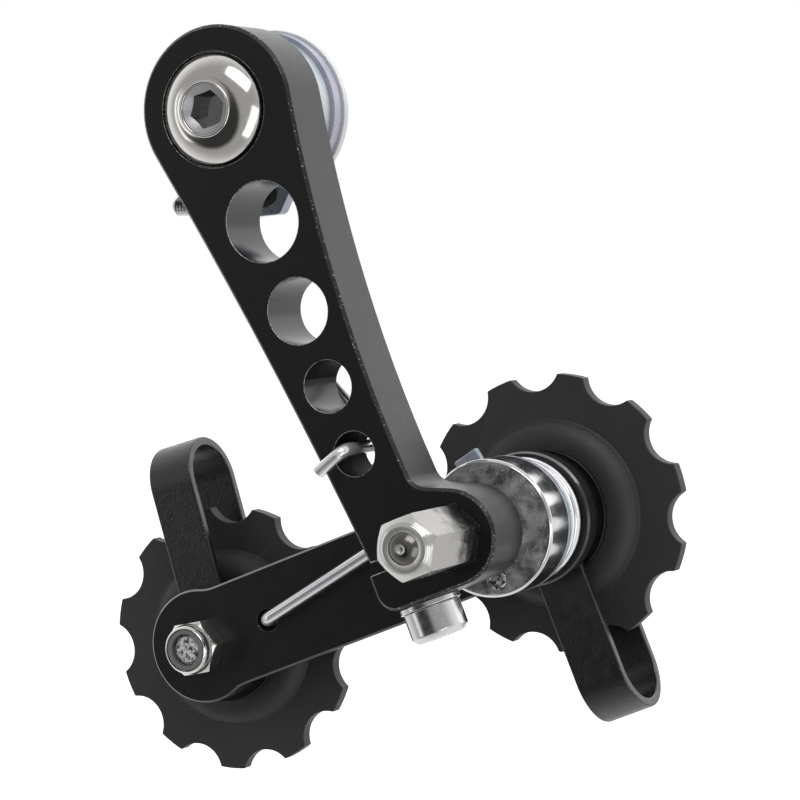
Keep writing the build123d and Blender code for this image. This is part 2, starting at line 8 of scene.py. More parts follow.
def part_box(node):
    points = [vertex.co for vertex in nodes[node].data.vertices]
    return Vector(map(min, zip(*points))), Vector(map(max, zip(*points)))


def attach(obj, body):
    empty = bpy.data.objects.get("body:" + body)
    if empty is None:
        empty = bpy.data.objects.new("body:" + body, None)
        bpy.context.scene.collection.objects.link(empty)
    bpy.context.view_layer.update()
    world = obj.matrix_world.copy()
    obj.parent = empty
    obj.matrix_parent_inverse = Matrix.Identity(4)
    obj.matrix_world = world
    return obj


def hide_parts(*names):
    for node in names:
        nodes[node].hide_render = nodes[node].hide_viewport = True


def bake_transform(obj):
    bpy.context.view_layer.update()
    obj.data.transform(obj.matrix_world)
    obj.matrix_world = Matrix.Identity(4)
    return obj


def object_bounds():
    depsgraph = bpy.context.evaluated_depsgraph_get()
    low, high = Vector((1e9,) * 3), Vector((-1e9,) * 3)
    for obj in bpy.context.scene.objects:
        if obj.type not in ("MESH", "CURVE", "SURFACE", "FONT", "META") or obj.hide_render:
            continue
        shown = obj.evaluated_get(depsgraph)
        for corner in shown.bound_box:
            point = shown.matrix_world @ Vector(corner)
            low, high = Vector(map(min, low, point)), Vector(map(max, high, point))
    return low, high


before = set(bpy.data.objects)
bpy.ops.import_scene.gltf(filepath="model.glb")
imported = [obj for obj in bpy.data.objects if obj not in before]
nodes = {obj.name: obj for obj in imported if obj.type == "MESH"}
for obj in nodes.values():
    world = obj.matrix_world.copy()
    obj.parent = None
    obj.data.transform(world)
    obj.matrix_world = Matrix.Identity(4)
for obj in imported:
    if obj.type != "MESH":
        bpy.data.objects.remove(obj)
cad_low, cad_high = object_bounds()
MM = 0.001


# Camera: a long lens a forearm away, a little to the right of the bolt's axis and almost level with it.
# The place, aim and lens were worked out from the photograph's own perspective.
CAMERA_AT = Vector((207.7, -379.6, -15.5)) * MM
CAMERA_RIGHT = Vector((0.89717, 0.44167, -0.00385))
CAMERA_UP = Vector((-0.02488, 0.05923, 0.99793))
LENS_MM = 128.65
SENSOR_MM = 36

camera_data = bpy.data.cameras.new("camera")
camera_data.lens = LENS_MM
camera_data.sensor_width = SENSOR_MM
camera_data.sensor_fit = "HORIZONTAL"
camera_data.clip_start = 0.01
camera = bpy.data.objects.new("camera", camera_data)
bpy.context.scene.collection.objects.link(camera)
camera_back = CAMERA_RIGHT.cross(CAMERA_UP)
turn = Matrix((CAMERA_RIGHT, CAMERA_UP, camera_back)).transposed().to_4x4()
camera.matrix_world = Matrix.Translation(CAMERA_AT) @ turn
bpy.context.scene.camera = camera


# Node trees: every material, world and group below is wired with these two helpers.
# A wire is written as the socket's own name, or its number where names repeat.
def add(tree, kind, inputs=None, **settings):
    """Add a node, set its properties, and fill or link its inputs."""
    node = tree.nodes.new(kind)
    for name, value in settings.items():
        setattr(node, name, value)
    for name, value in (inputs or {}).items():
        if isinstance(value, bpy.types.NodeSocket):
            tree.links.new(value, node.inputs[name])
        else:
            node.inputs[name].default_value = value
    return node


def math_node(tree, operation, first, second=0.0, clamp=False):
    """Arithmetic on one or two values."""
    node = add(tree, "ShaderNodeMath", {0: first, 1: second}, operation=operation, use_clamp=clamp)
    return node.outputs[0]


# Studio: a pale surround, white behind the part, with a darker stand-in for the photographer in front
# and white panels, which only polished metal reflects. Plain soft light shows colours as written.
# A panel is its direction, the direction of its length, its half length and width at 1 m, and its strength.
AMBIENT = 0.62
FRONT_TONE = 0.42
BACK_TONE = 1.0
DARK_AIM = Vector((-0.21, -0.93, -0.29))
DARK_TONE = 0.04
PANELS = [
    (Vector((0.33, -0.57, 0.75)), Vector((0.70, 0.30, -0.62)), 0.36, 0.20, 3.0),
    (Vector((0.72, -0.52, -0.30)), Vector((0.30, 0.15, 0.94)), 0.42, 0.16, 1.6),
    (Vector((-0.78, -0.62, -0.08)), Vector((0.0, 0.0, 1.0)), 0.26, 0.10, 0.9),
    (Vector((0.10, 0.80, 0.55)), Vector((1.0, 0.0, 0.0)), 1.2, 0.45, 0.45),
]


def dot_with(tree, direction, aim):
    """How far a direction lines up with an aim."""
    node = add(tree, "ShaderNodeVectorMath", {0: direction, 1: aim}, operation="DOT_PRODUCT")
    return node.outputs["Value"]


def ramp_node(tree, value, start, end, low, high):
    """Smooth step from one value to another."""
    node = add(tree, "ShaderNodeMapRange",
               {"Value": value, "From Min": start, "From Max": end, "To Min": low, "To Max": high},
               interpolation_type="SMOOTHSTEP")
    return node.outputs[0]


def add_panel(tree, tone, direction, aim, along, half_long, half_wide, strength):
    """Oblong white panel in the surround, with slightly soft sides."""
    aim = aim.normalized()
    along = (along - aim * along.dot(aim)).normalized()
    ahead = dot_with(tree, direction, aim)
    mask = math_node(tree, "GREATER_THAN", ahead, 0.1)
    for side, half in ((along, half_long), (aim.cross(along), half_wide)):
        offset = math_node(tree, "DIVIDE", dot_with(tree, direction, side), ahead)
        offset = math_node(tree, "ABSOLUTE", offset)
        inside = ramp_node(tree, offset, half - 0.03, half + 0.07, 1.0, 0.0)
        mask = math_node(tree, "MULTIPLY", mask, inside)
    return math_node(tree, "ADD", tone, math_node(tree, "MULTIPLY", mask, strength))


def build_world():
    """Surround that the camera sees as white, matt paint as plain light, and metal as the studio."""
    world = bpy.data.worlds.new("studio")
    world.use_nodes = True
    tree = world.node_tree
    tree.nodes.clear()
    direction = add(tree, "ShaderNodeTexCoord").outputs["Generated"]
    depth = add(tree, "ShaderNodeSeparateXYZ", {0: direction}).outputs["Y"]
    tone = ramp_node(tree, depth, -0.55, 0.25, FRONT_TONE, BACK_TONE)
    lined = dot_with(tree, direction, DARK_AIM.normalized())
    stand_in = ramp_node(tree, lined, 0.80, 0.94, 1.0, DARK_TONE / FRONT_TONE)
    tone = math_node(tree, "MULTIPLY", tone, stand_in)
    for panel in PANELS:
        tone = add_panel(tree, tone, direction, *panel)
    path = add(tree, "ShaderNodeLightPath")
    shiny = math_node(tree, "ADD", path.outputs["Is Glossy Ray"], path.outputs["Is Transmission Ray"],
                      clamp=True)
    mirrored = add(tree, "ShaderNodeMix", {"Factor": shiny, "A": AMBIENT, "B": tone}).outputs[0]
    seen = add(tree, "ShaderNodeMix", {"Factor": path.outputs["Is Camera Ray"], "A": mirrored, "B": 1.0})
    background = add(tree, "ShaderNodeBackground", {"Color": (1, 1, 1, 1), "Strength": seen.outputs[0]})
    add(tree, "ShaderNodeOutputWorld", {"Surface": background.outputs[0]})
    bpy.context.scene.world = world


def soft_lamp(name, place, size, power):
    """Square area lamp aimed at the part's middle."""
    data = bpy.data.lights.new(name, "AREA")
    data.size = size
    data.energy = power
    lamp = bpy.data.objects.new(name, data)
    bpy.context.scene.collection.objects.link(lamp)
    lamp.location = place
    aim = Vector((0.01, 0, -0.05)) - lamp.location
    lamp.rotation_euler = aim.to_track_quat("-Z", "Y").to_euler()
    lamp.visible_glossy = False


build_world()
soft_lamp("key lamp", (0.5, -0.7, 0.7), 0.5, 5.0)
soft_lamp("fill lamp", (-0.7, -0.5, 0.2), 0.6, 1.6)
soft_lamp("back lamp", (0.5, 0.7, 0.5), 0.5, 3.0)

# Floor: a wide pale sheet, below all that the part's joints can reach, lifted to white for the camera.
# It takes the part's soft shadow, and is clear to polished metal, which shows the surround below it.
FLOOR_Z = cad_low[2] - 0.056
FLOOR_HALF = 3.0
FLOOR_LIFT = 0.62
floor_mesh = bpy.data.meshes.new("floor")
corners = [(-1, -1), (1, -1), (1, 1), (-1, 1)]
floor_mesh.from_pydata([(x * FLOOR_HALF, y * FLOOR_HALF, FLOOR_Z) for x, y in corners], [], [(0, 1, 2, 3)])
floor = bpy.data.objects.new("floor", floor_mesh)
bpy.context.scene.collection.objects.link(floor)
floor_paint = bpy.data.materials.new("floor white")
floor_paint.use_nodes = True
floor_tree = floor_paint.node_tree
floor_path = add(floor_tree, "ShaderNodeLightPath")
floor_shader = floor_tree.nodes["Principled BSDF"]
floor_shader.inputs["Base Color"].default_value = (0.8, 0.8, 0.8, 1)
floor_shader.inputs["Roughness"].default_value = 0.9
floor_shader.inputs["Specular IOR Level"].default_value = 0.0
floor_shader.inputs["Emission Color"].default_value = (1, 1, 1, 1)
floor_lift = math_node(floor_tree, "MULTIPLY", floor_path.outputs["Is Camera Ray"], FLOOR_LIFT)
floor_tree.links.new(floor_lift, floor_shader.inputs["Emission Strength"])
clear = add(floor_tree, "ShaderNodeBsdfTransparent")
floor_mix = add(floor_tree, "ShaderNodeMixShader",
                {0: floor_path.outputs["Is Glossy Ray"], 1: floor_shader.outputs[0], 2: clear.outputs[0]})
floor_tree.links.new(floor_mix.outputs[0], floor_tree.nodes["Material Output"].inputs["Surface"])
floor_mesh.materials.append(floor_paint)
bpy.context.scene.view_settings.view_transform = "Standard"


# Arm: bar of aluminium alloy, sawn to a taper, drilled four times, milled to a foot and anodised black.
# Its edges are chamfered, and the black has worn through to bright metal in specks along them.
# The holes are (x, z, radius) in millimetres, from the top.
ARM_BLACK = (0.0045, 0.0045, 0.0047, 1)
ARM_SHEEN = 0.50
BARE_ALLOY = (0.60, 0.60, 0.60, 1)
ARM_HOLES = [(8.0, -16.2, 5.9), (13.7, -29.0, 4.85), (18.5, -39.7, 3.8), (22.7, -49.2, 3.25)]
DULL_ABOVE_Z = -39.0


def new_group(name, inputs, outputs):
    """Shader group with named sockets: a dict of input defaults and a tuple of output names."""
    group = bpy.data.node_groups.new(name, "ShaderNodeTree")
    for socket, value in inputs.items():
        kind = "NodeSocketVector" if socket == "Vector" else "NodeSocketFloat"
        made = group.interface.new_socket(socket, in_out="INPUT", socket_type=kind)
        if value is not None:
            made.default_value = value
    for socket in outputs:
        group.interface.new_socket(socket, in_out="OUTPUT", socket_type="NodeSocketFloat")
    return group, add(group, "NodeGroupInput").outputs, add(group, "NodeGroupOutput").inputs


def make_speck_group():
    """Scattered specks: Mask is 1 on about the wanted share of the surface."""
    group, given, out = new_group("specks", {"Vector": None, "Scale": 3000.0, "Share": 0.05}, ("Mask",))
    noise = add(group, "ShaderNodeTexNoise",
                {"Vector": given["Vector"], "Scale": given["Scale"], "Detail": 3.0, "Roughness": 0.6})
    edge = math_node(group, "SUBTRACT", 0.78, math_node(group, "MULTIPLY", given["Share"], 0.55))
    above = math_node(group, "SUBTRACT", noise.outputs["Fac"], edge)
    ramp = math_node(group, "MULTIPLY", above, 22.0, clamp=True)
    group.links.new(ramp, out["Mask"])
    return group


def make_grain_group():
    """Even fine grain between two values, for roughness, tone and bump."""
    group, given, out = new_group("grain", {"Vector": None, "Scale": 2000.0, "Low": 0.3, "High": 0.4},
                                  ("Value", "Height"))
    noise = add(group, "ShaderNodeTexNoise",
                {"Vector": given["Vector"], "Scale": given["Scale"], "Detail": 4.0, "Roughness": 0.6})
    value = add(group, "ShaderNodeMapRange",
                {"Value": noise.outputs["Fac"], "From Min": 0.3, "From Max": 0.7, "To Min": given["Low"],
                 "To Max": given["High"]})
    group.links.new(value.outputs[0], out["Value"])
    group.links.new(noise.outputs["Fac"], out["Height"])
    return group


speck_group = make_speck_group()
grain_group = make_grain_group()


def place_group(tree, group, vector, **inputs):
    """Outputs of a shader group that reads one vector and the given values."""
    node = add(tree, "ShaderNodeGroup", node_tree=group)
    tree.links.new(vector, node.inputs["Vector"])
    for name, value in inputs.items():
        node.inputs[name].default_value = value
    return node.outputs


def new_material(name, metallic=0.0):
    """Material with its tree, its shader, and the object's own coordinates."""
    material = bpy.data.materials.new(name)
    material.use_nodes = True
    tree = material.node_tree
    shader = tree.nodes["Principled BSDF"]
    shader.inputs["Metallic"].default_value = metallic
    place = add(tree, "ShaderNodeTexCoord").outputs["Object"]
    return material, tree, shader, place


def mix_colours(tree, mask, first, second):
    """Colour that goes from the first to the second with a mask."""
    node = add(tree, "ShaderNodeMix", data_type="RGBA")
    for socket, value in ((0, mask), (6, first), (7, second)):
        if isinstance(value, bpy.types.NodeSocket):
            tree.links.new(value, node.inputs[socket])
        else:
            node.inputs[socket].default_value = value
    return node.outputs[2]


def bump(tree, shader, height, depth, strength=1.0):
    """Relief of a height map, its depth in metres."""
    node = add(tree, "ShaderNodeBump", {"Strength": strength, "Distance": depth, "Height": height})
    tree.links.new(node.outputs[0], shader.inputs["Normal"])


def make_black_anodised(name, worn_share, worn_scale, low=0.32, high=0.38, sheen=ARM_SHEEN):
    """Satin black skin over bright alloy, with a share of worn specks."""
    material, tree, shader, place = new_material(name)
    shader.inputs["Specular IOR Level"].default_value = sheen
    specks = place_group(tree, speck_group, place, Scale=worn_scale, Share=worn_share)["Mask"]
    skin = place_group(tree, grain_group, place, Scale=900.0, Low=low, High=high)
    blast = place_group(tree, grain_group, place, Scale=7000.0, Low=0.0, High=1.0)
    tree.links.new(mix_colours(tree, specks, ARM_BLACK, BARE_ALLOY), shader.inputs["Base Color"])
    tree.links.new(specks, shader.inputs["Metallic"])
    tree.links.new(skin["Value"], shader.inputs["Roughness"])
    bump(tree, shader, blast["Height"], 0.000006)
    return material


def merged_copy(node, name):
    """Copy of a CAD node as one closed mesh of flat faces, ready to be dressed."""
    mesh = nodes[node].data.copy()
    mesh.materials.clear()
    shape = bmesh.new()
    shape.from_mesh(mesh)
    bmesh.ops.remove_doubles(shape, verts=shape.verts, dist=0.5e-6)
    bmesh.ops.dissolve_limit(shape, angle_limit=math.radians(0.2), verts=shape.verts, edges=shape.edges)
    shape.to_mesh(mesh)
    shape.free()
    piece = bpy.data.objects.new(name, mesh)
    bpy.context.scene.collection.objects.link(piece)
    return piece


def smooth(piece, sharp_angle=28):
    """Shade a piece smooth, apart from edges sharper than an angle in degrees."""
    piece.data.shade_smooth()
    piece.data.set_sharp_from_angle(angle=math.radians(sharp_angle))


def round_edges(piece, width, steps=2, sharp_angle=30, rim_material=0):
    """Round a piece's sharp edges, by a width in millimetres."""
    edge = piece.modifiers.new("rounded edges", "BEVEL")
    edge.width = width * MM
    edge.segments = steps
    edge.limit_method = "ANGLE"
    edge.angle_limit = math.radians(sharp_angle)
    edge.material = rim_material
    edge.use_clamp_overlap = True
    edge.harden_normals = True


def paint_faces(piece, index, wanted):
    """Give a material slot to the faces that a test picks."""
    for face in piece.data.polygons:
        if wanted(face):
            face.material_index = index


def mount_piece(piece, body, slot, *replaced):
    """Tell the frame what a piece rides on, and the nodes that it stands for; the slot is not used."""
    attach(piece, body)
    if replaced:
        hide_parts(*replaced)


def arm_hole_at(point):
    """Number of the hole on whose wall a point lies, from the top, or None."""
    for number, (x, z, radius) in enumerate(ARM_HOLES):
        if math.hypot(point.x - x * MM, point.z - z * MM) < (radius + 0.1) * MM:
            return number
    return None


def dress_arm():
    """The chamfers are worn most; the walls of the holes are smoother, and dull round the spring's wire."""
    piece = merged_copy("arm", "arm_bar")
    black, chamfer, bore, dull_bore, rim = range(5)
    skins = {
        black: make_black_anodised("arm black", 0.05, 5200.0),
        chamfer: make_black_anodised("arm worn edge", 0.26, 3800.0),
        bore: make_black_anodised("arm bore", 0.02, 6000.0, low=0.20, high=0.24),
        dull_bore: make_black_anodised("arm dull bore", 0.04, 5200.0, low=0.5, high=0.6, sheen=0.1),
        rim: make_black_anodised("arm worn rim", 0.62, 4200.0),
    }
    for skin in skins.values():
        piece.data.materials.append(skin)
    for face in piece.data.polygons:
        slope = abs(face.normal.y)
        hole = arm_hole_at(face.center)
        if 0.4 < slope < 0.9:
            face.material_index = chamfer
        elif slope < 0.1 and hole is not None:
            dull = hole == 3 or hole == 2 and face.center.z > DULL_ABOVE_Z * MM
            face.material_index = dull_bore if dull else bore
    round_edges(piece, 0.14, sharp_angle=60, rim_material=rim)
    smooth(piece)
    mount_piece(piece, "arm", "black_anodised", "arm")


dress_arm()


# Mounting bolt: steel, turned and polished, its low dome rising to a rimmed hexagon socket.
# It is a shoulder bolt: the arm turns on its plain part, and its thread screws into the frame's hanger.
BOLT_STEEL = (0.70, 0.68, 0.655, 1)
BOLT_SEGMENTS = 160
SHOULDER_R = 6.0
RIM_R = 3.88
RIM_ROUND = 0.24
RIM_GAP = 0.5
SOCKET_AF = 5.0
SOCKET_TURN = 18
SOCKET_DEPTH = 3.9
THREAD_R = 5.0
THREAD_PITCH = 1.0
THREAD_CORE_R = 4.35
# Colour of the thread's root: painted shade in the groove, with some grime.
THREAD_ROOT_SHADE_AND_GRIME = (0.05, 0.047, 0.043, 1)
THREAD_BRIGHT = (0.62, 0.61, 0.60, 1)


def turned(name, centre, profile, segments=BOLT_SEGMENTS):
    """Round piece about an axis along Y, from a closed profile of (radius, depth) points in millimetres."""
    shape = bmesh.new()
    rings = []
    for radius, depth in profile:
        if radius == 0:
            rings.append([shape.verts.new((centre[0] * MM, depth * MM, centre[1] * MM))])
            continue
        ring = []
        for step in range(segments):
            angle = 2 * math.pi * step / segments
            x = centre[0] + radius * math.cos(angle)
            z = centre[1] + radius * math.sin(angle)
            ring.append(shape.verts.new((x * MM, depth * MM, z * MM)))
        rings.append(ring)
    for first, second in zip(rings, rings[1:] + rings[:1]):
        if len(first) == 1 and len(second) == 1:
            continue
        for step in range(segments):
            after = (step + 1) % segments
            corners = [first[step % len(first)], first[after % len(first)],
                       second[after % len(second)], second[step % len(second)]]
            unique = []
            for corner in corners:
                if corner not in unique:
                    unique.append(corner)
            shape.faces.new(unique)
    bmesh.ops.recalc_face_normals(shape, faces=shape.faces)
    mesh = bpy.data.meshes.new(name)
    shape.to_mesh(mesh)
    shape.free()
    piece = bpy.data.objects.new(name, mesh)
    bpy.context.scene.collection.objects.link(piece)
    return piece


def arc_profile(centre, radius, start, end, steps):
    """Points of an arc in a profile, its angles counted from outwards (0) to rearwards (90)."""
    points = []
    for step in range(steps + 1):
        angle = math.radians(start + (end - start) * step / steps)
        points.append((centre[0] + radius * math.cos(angle), centre[1] + radius * math.sin(angle)))
    return points


def hexagon_bar(name, centre, across_flats, first_corner, front, rear):
    """Hexagonal bar along Y, in millimetres."""
    shape = bmesh.new()
    corner_r = across_flats / math.sqrt(3)
    ends = []
    for depth in (front, rear):
        ring = []
        for step in range(6):
            angle = math.radians(first_corner + 60 * step)
            x = centre[0] + corner_r * math.cos(angle)
            z = centre[1] + corner_r * math.sin(angle)
            ring.append(shape.verts.new((x * MM, depth * MM, z * MM)))
        ends.append(ring)
    shape.faces.new(ends[0])
    shape.faces.new(ends[1][::-1])
    for step in range(6):
        after = (step + 1) % 6
        shape.faces.new((ends[0][step], ends[1][step], ends[1][after], ends[0][after]))
    bmesh.ops.recalc_face_normals(shape, faces=shape.faces)
    mesh = bpy.data.meshes.new(name)
    shape.to_mesh(mesh)
    shape.free()
    piece = bpy.data.objects.new(name, mesh)
    bpy.context.scene.collection.objects.link(piece)
    return piece


def combine(piece, tool, operation):
    """Cut a tool out of a piece, or keep what they share; the tool is used up."""
    change = piece.modifiers.new("cut", "BOOLEAN")
    change.operation = operation
    change.solver = "EXACT"
    change.object = tool
    bake_shape(piece)
    bpy.data.objects.remove(tool)


def bake_shape(piece):
    """Turn a piece's modifiers into its plain mesh."""
    bpy.context.view_layer.update()
    graph = bpy.context.evaluated_depsgraph_get()
    mesh = bpy.data.meshes.new_from_object(piece.evaluated_get(graph))
    piece.modifiers.clear()
    piece.data = mesh


def make_bright_steel(name, colour, low, high, dent=0.0, dirt=0.0, metallic=1.0):
    """Bright steel with uneven polish, small dents and a little dirt."""
    material, tree, shader, place = new_material(name, metallic)
    polish = place_group(tree, grain_group, place, Scale=900.0, Low=low, High=high)
    tree.links.new(polish["Value"], shader.inputs["Roughness"])
    marks = place_group(tree, speck_group, place, Scale=1700.0, Share=dirt)["Mask"]
    dark = tuple(channel * 0.35 for channel in colour[:3]) + (1,)
    tree.links.new(mix_colours(tree, marks, colour, dark), shader.inputs["Base Color"])
    if dent:
        pits = place_group(tree, grain_group, place, Scale=1300.0, Low=0.0, High=1.0)
        bump(tree, shader, pits["Height"], dent)
    return material


def make_thread_tree():
    """Geometry Nodes: a screw thread as one ridge wound about Z, rising from the origin."""
    tree = bpy.data.node_groups.new("screw thread", "GeometryNodeTree")
    for socket in ("Core Radius", "Pitch", "Length", "Ridge"):
        tree.interface.new_socket(socket, in_out="INPUT", socket_type="NodeSocketFloat")
    tree.interface.new_socket("Steel", in_out="INPUT", socket_type="NodeSocketMaterial")
    tree.interface.new_socket("Thread", in_out="OUTPUT", socket_type="NodeSocketGeometry")
    given = add(tree, "NodeGroupInput").outputs
    turns = math_node(tree, "DIVIDE", given["Length"], given["Pitch"])
    helix = add(tree, "GeometryNodeCurveSpiral",
                {"Resolution": 40, "Rotations": turns, "Start Radius": given["Core Radius"],
                 "End Radius": given["Core Radius"], "Height": given["Length"]})
    upright = add(tree, "GeometryNodeSetCurveNormal", {"Curve": helix.outputs[0]}, mode="Z_UP")
    section = add(tree, "GeometryNodeCurvePrimitiveCircle", {"Resolution": 4, "Radius": given["Ridge"]})
    ridge = add(tree, "GeometryNodeCurveToMesh",
                {"Curve": upright.outputs[0], "Profile Curve": section.outputs[0], "Fill Caps": True})
    real = add(tree, "GeometryNodeRealizeInstances", {"Geometry": ridge.outputs[0]})
    steel = add(tree, "GeometryNodeSetMaterial",
                {"Geometry": real.outputs[0], "Material": given["Steel"]})
    out = add(tree, "NodeGroupOutput")
    tree.links.new(steel.outputs[0], out.inputs[0])
    return tree


thread_tree = make_thread_tree()


def wind_thread(name, radius, pitch, length, material, start, axis):
    """Thread's ridge from a start point, along an axis, with sizes and start in millimetres."""
    piece = bpy.data.objects.new(name, bpy.data.meshes.new(name))
    bpy.context.scene.collection.objects.link(piece)
    ridge = 0.5 * pitch
    values = {"Core Radius": (radius - ridge) * MM, "Pitch": pitch * MM, "Length": length * MM,
              "Ridge": ridge * MM, "Steel": material}
    wind = piece.modifiers.new("thread", "NODES")
    wind.node_group = thread_tree
    for item in thread_tree.interface.items_tree:
        if item.in_out == "INPUT":
            wind[item.identifier] = values[item.name]
    bake_shape(piece)
    aim = Vector(axis).to_track_quat("Z", "Y").to_matrix().to_4x4()
    piece.data.transform(Matrix.Translation(Vector(start) * MM) @ aim)
    smooth(piece, 30)
    return piece


def make_thread_steel(name, root_r, crest_r):
    """Steel of a thread about the object's Y axis: dark in the root with painted shade and grime, worn
    bright on the crest.
    """
    material, tree, shader, place = new_material(name, metallic=0.8)
    across = add(tree, "ShaderNodeVectorMath", {0: place, 1: (1.0, 0.0, 1.0)}, operation="MULTIPLY")
    out = add(tree, "ShaderNodeVectorMath", {0: across.outputs[0]}, operation="LENGTH").outputs["Value"]
    height = add(tree, "ShaderNodeMapRange",
                 {"Value": out, "From Min": root_r * MM, "From Max": crest_r * MM})
    # Painted shade and grime: the thread darkens from crest to root by radius.
    tone = mix_colours(tree, height.outputs[0], THREAD_ROOT_SHADE_AND_GRIME, THREAD_BRIGHT)
    tree.links.new(tone, shader.inputs["Base Color"])
    polish = place_group(tree, grain_group, place, Scale=900.0, Low=0.28, High=0.42)
    tree.links.new(polish["Value"], shader.inputs["Roughness"])
    return material


def dome_profile(head_r, edge, top):
    """The bolt head's crown, from its edge to the foot of the rim, steep first and then nearly flat."""
    foot_r = RIM_R + RIM_GAP
    rise = edge - top - 0.25
    dome = []
    for step in range(13):
        share = step / 12
        height = rise * math.sin(share * math.pi / 2) ** 0.85
        dome.append((head_r - (head_r - foot_r) * share, edge - height))
    return dome


def dress_mounting_bolt():
    low, high = (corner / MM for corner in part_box("mounting_bolt"))
    steel = make_bright_steel("bolt polished steel", BOLT_STEEL, 0.07, 0.16, dent=0.000004, dirt=0.02)
    # The socket's walls are painted near black, as painted shade in the hexagon recess.
    walls = make_bright_steel("bolt socket walls painted shade", (0.11, 0.11, 0.112, 1), 0.2, 0.3)
    floor_steel = make_bright_steel("bolt socket floor", (0.34, 0.34, 0.35, 1), 0.3, 0.4, metallic=0.4)
    head_r = high.x
    top = low.y
    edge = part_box("arm")[0].y / MM - 0.3
    seat = edge + 1.1
    shoulder_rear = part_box("hanger_washer")[1].y / MM
    rim = arc_profile((RIM_R, top + RIM_ROUND), RIM_ROUND, -20, -180, 8)
    profile = [(0, seat), (SHOULDER_R, seat), (head_r - 0.2, seat), (head_r, seat - 0.2),
               *dome_profile(head_r, edge, top), *rim, (3.6, top + 0.3), (2.5, top + 1.1), (0, top + 1.1)]
    head = turned("mounting_bolt_head", (0, 0), profile)
    socket = hexagon_bar("socket", (0, 0), SOCKET_AF, SOCKET_TURN, top, top + SOCKET_DEPTH)
    combine(head, socket, "DIFFERENCE")
    for material in (steel, walls, floor_steel):
        head.data.materials.append(material)

    def in_socket(face):
        return (math.hypot(face.center.x, face.center.z) < 2.9 * MM
                and face.center.y > (top + 1.15) * MM)

    def at_bottom(face):
        deep = face.center.y > (top + SOCKET_DEPTH - 0.4) * MM
        central = math.hypot(face.center.x, face.center.z) < 3.5 * MM
        return face.normal.y < -0.5 and face.center.y < seat * MM and (deep or central)

    paint_faces(head, 1, in_socket)
    paint_faces(head, 2, at_bottom)
    smooth(head, 24)
    mount_piece(head, "mount", "polished_steel", "mounting_bolt")
    core_r = THREAD_CORE_R
    shank = turned("mounting_bolt_shank", (0, 0),
                   [(0, seat), (SHOULDER_R, seat), (SHOULDER_R, shoulder_rear), (core_r, shoulder_rear),
                    (core_r, high.y - 0.4), (core_r - 0.4, high.y), (0, high.y)])
    shank.data.materials.append(steel)
    smooth(shank)
    mount_piece(shank, "mount", "polished_steel")
    thread_steel = make_thread_steel("bolt thread steel", core_r + 0.1, THREAD_R)
    thread = wind_thread("mounting_bolt_thread", THREAD_R, THREAD_PITCH, high.y - shoulder_rear - 1.4,
                         thread_steel, (0, shoulder_rear + 0.5, 0), (0, 1, 0))
    mount_piece(thread, "mount", "polished_steel")


dress_mounting_bolt()


# Zinc-plated stack behind the arm: the hanger washer, the stop plate with its foot, and the spacer.
# The clear passivation leaves a faint run of teal, blue and lavender over the pale zinc.
WASHER_TINTS = ((0.60, 0.62, 0.63, 1), (0.66, 0.67, 0.68, 1), (0.58, 0.60, 0.63, 1))
PLATE_TINTS = ((0.36, 0.44, 0.48, 1), (0.32, 0.33, 0.42, 1), (0.40, 0.40, 0.47, 1))
SPACER_TINTS = ((0.56, 0.58, 0.59, 1), (0.34, 0.45, 0.49, 1), (0.50, 0.54, 0.57, 1))


def make_zinc(name, tints):
    """Zinc plating whose tint drifts through three colours."""
    material, tree, shader, place = new_material(name, metallic=0.4)
    drift = add(tree, "ShaderNodeTexNoise", {"Vector": place, "Scale": 110.0, "Detail": 2.0})
    ramp = add(tree, "ShaderNodeValToRGB", {"Fac": drift.outputs["Fac"]})
    ramp.color_ramp.elements.new(0.5)
    for element, place_on, tint in zip(ramp.color_ramp.elements, (0.38, 0.5, 0.62), tints):
        element.position = place_on
        element.color = tint
    tree.links.new(ramp.outputs[0], shader.inputs["Base Color"])
    polish = place_group(tree, grain_group, place, Scale=700.0, Low=0.22, High=0.36)
    tree.links.new(polish["Value"], shader.inputs["Roughness"])
    bump(tree, shader, polish["Height"], 0.000008)
    return material


def dress_plain(node, body, slot, material, edge, sharp_angle=30):
    """Dress a CAD node as it is, with its sharp edges rounded by a width in millimetres."""
    piece = merged_copy(node, node + "_shown")
    piece.data.materials.append(material)
    if edge:
        round_edges(piece, edge, sharp_angle=sharp_angle)
    smooth(piece)
    mount_piece(piece, body, slot, node)
    return piece


plate_zinc = make_zinc("stop plate zinc", PLATE_TINTS)
dress_plain("hanger_washer", "mount", "zinc_plate", make_zinc("washer zinc", WASHER_TINTS), 0.15)
dress_plain("stop_plate", "stop", "zinc_plate", plate_zinc, 0.25)
dress_plain("swivel_spacer", "mount", "zinc_plate", make_zinc("spacer zinc", SPACER_TINTS), 0.25)


# Small screws: the bright stop screw and its black lock screw in the stop plate's foot, the bright pinch
# screw and washer under the arm's foot, and the battered screw in the collar's face. They have small marks
# from tools, and a little dirt.
SCREW_STEEL = (0.66, 0.655, 0.65, 1)
BLACK_OXIDE = (0.10, 0.10, 0.104, 1)
BATTERED_DARK = (0.03, 0.03, 0.03, 1)
BATTERED_LIGHT = (0.85, 0.85, 0.85, 1)
STOP_SCREW_R = 1.5
STOP_SCREW_PITCH = 0.5
screw_steel = make_bright_steel("screw steel", SCREW_STEEL, 0.14, 0.28, dent=0.000006, dirt=0.06)
black_steel = make_bright_steel("black oxide steel", BLACK_OXIDE, 0.3, 0.4, dent=0.00004, metallic=0.6)


def make_battered_steel():
    """Cut or battered steel, in small dark and bright patches."""
    material, tree, shader, place = new_material("battered steel", metallic=0.6)
    patches = place_group(tree, grain_group, place, Scale=1500.0, Low=-0.4, High=1.4)
    tone = mix_colours(tree, patches["Value"], BATTERED_DARK, BATTERED_LIGHT)
    tree.links.new(tone, shader.inputs["Base Color"])
    shader.inputs["Roughness"].default_value = 0.25
    bump(tree, shader, patches["Height"], 0.00012)
    return material


battered_steel = make_battered_steel()


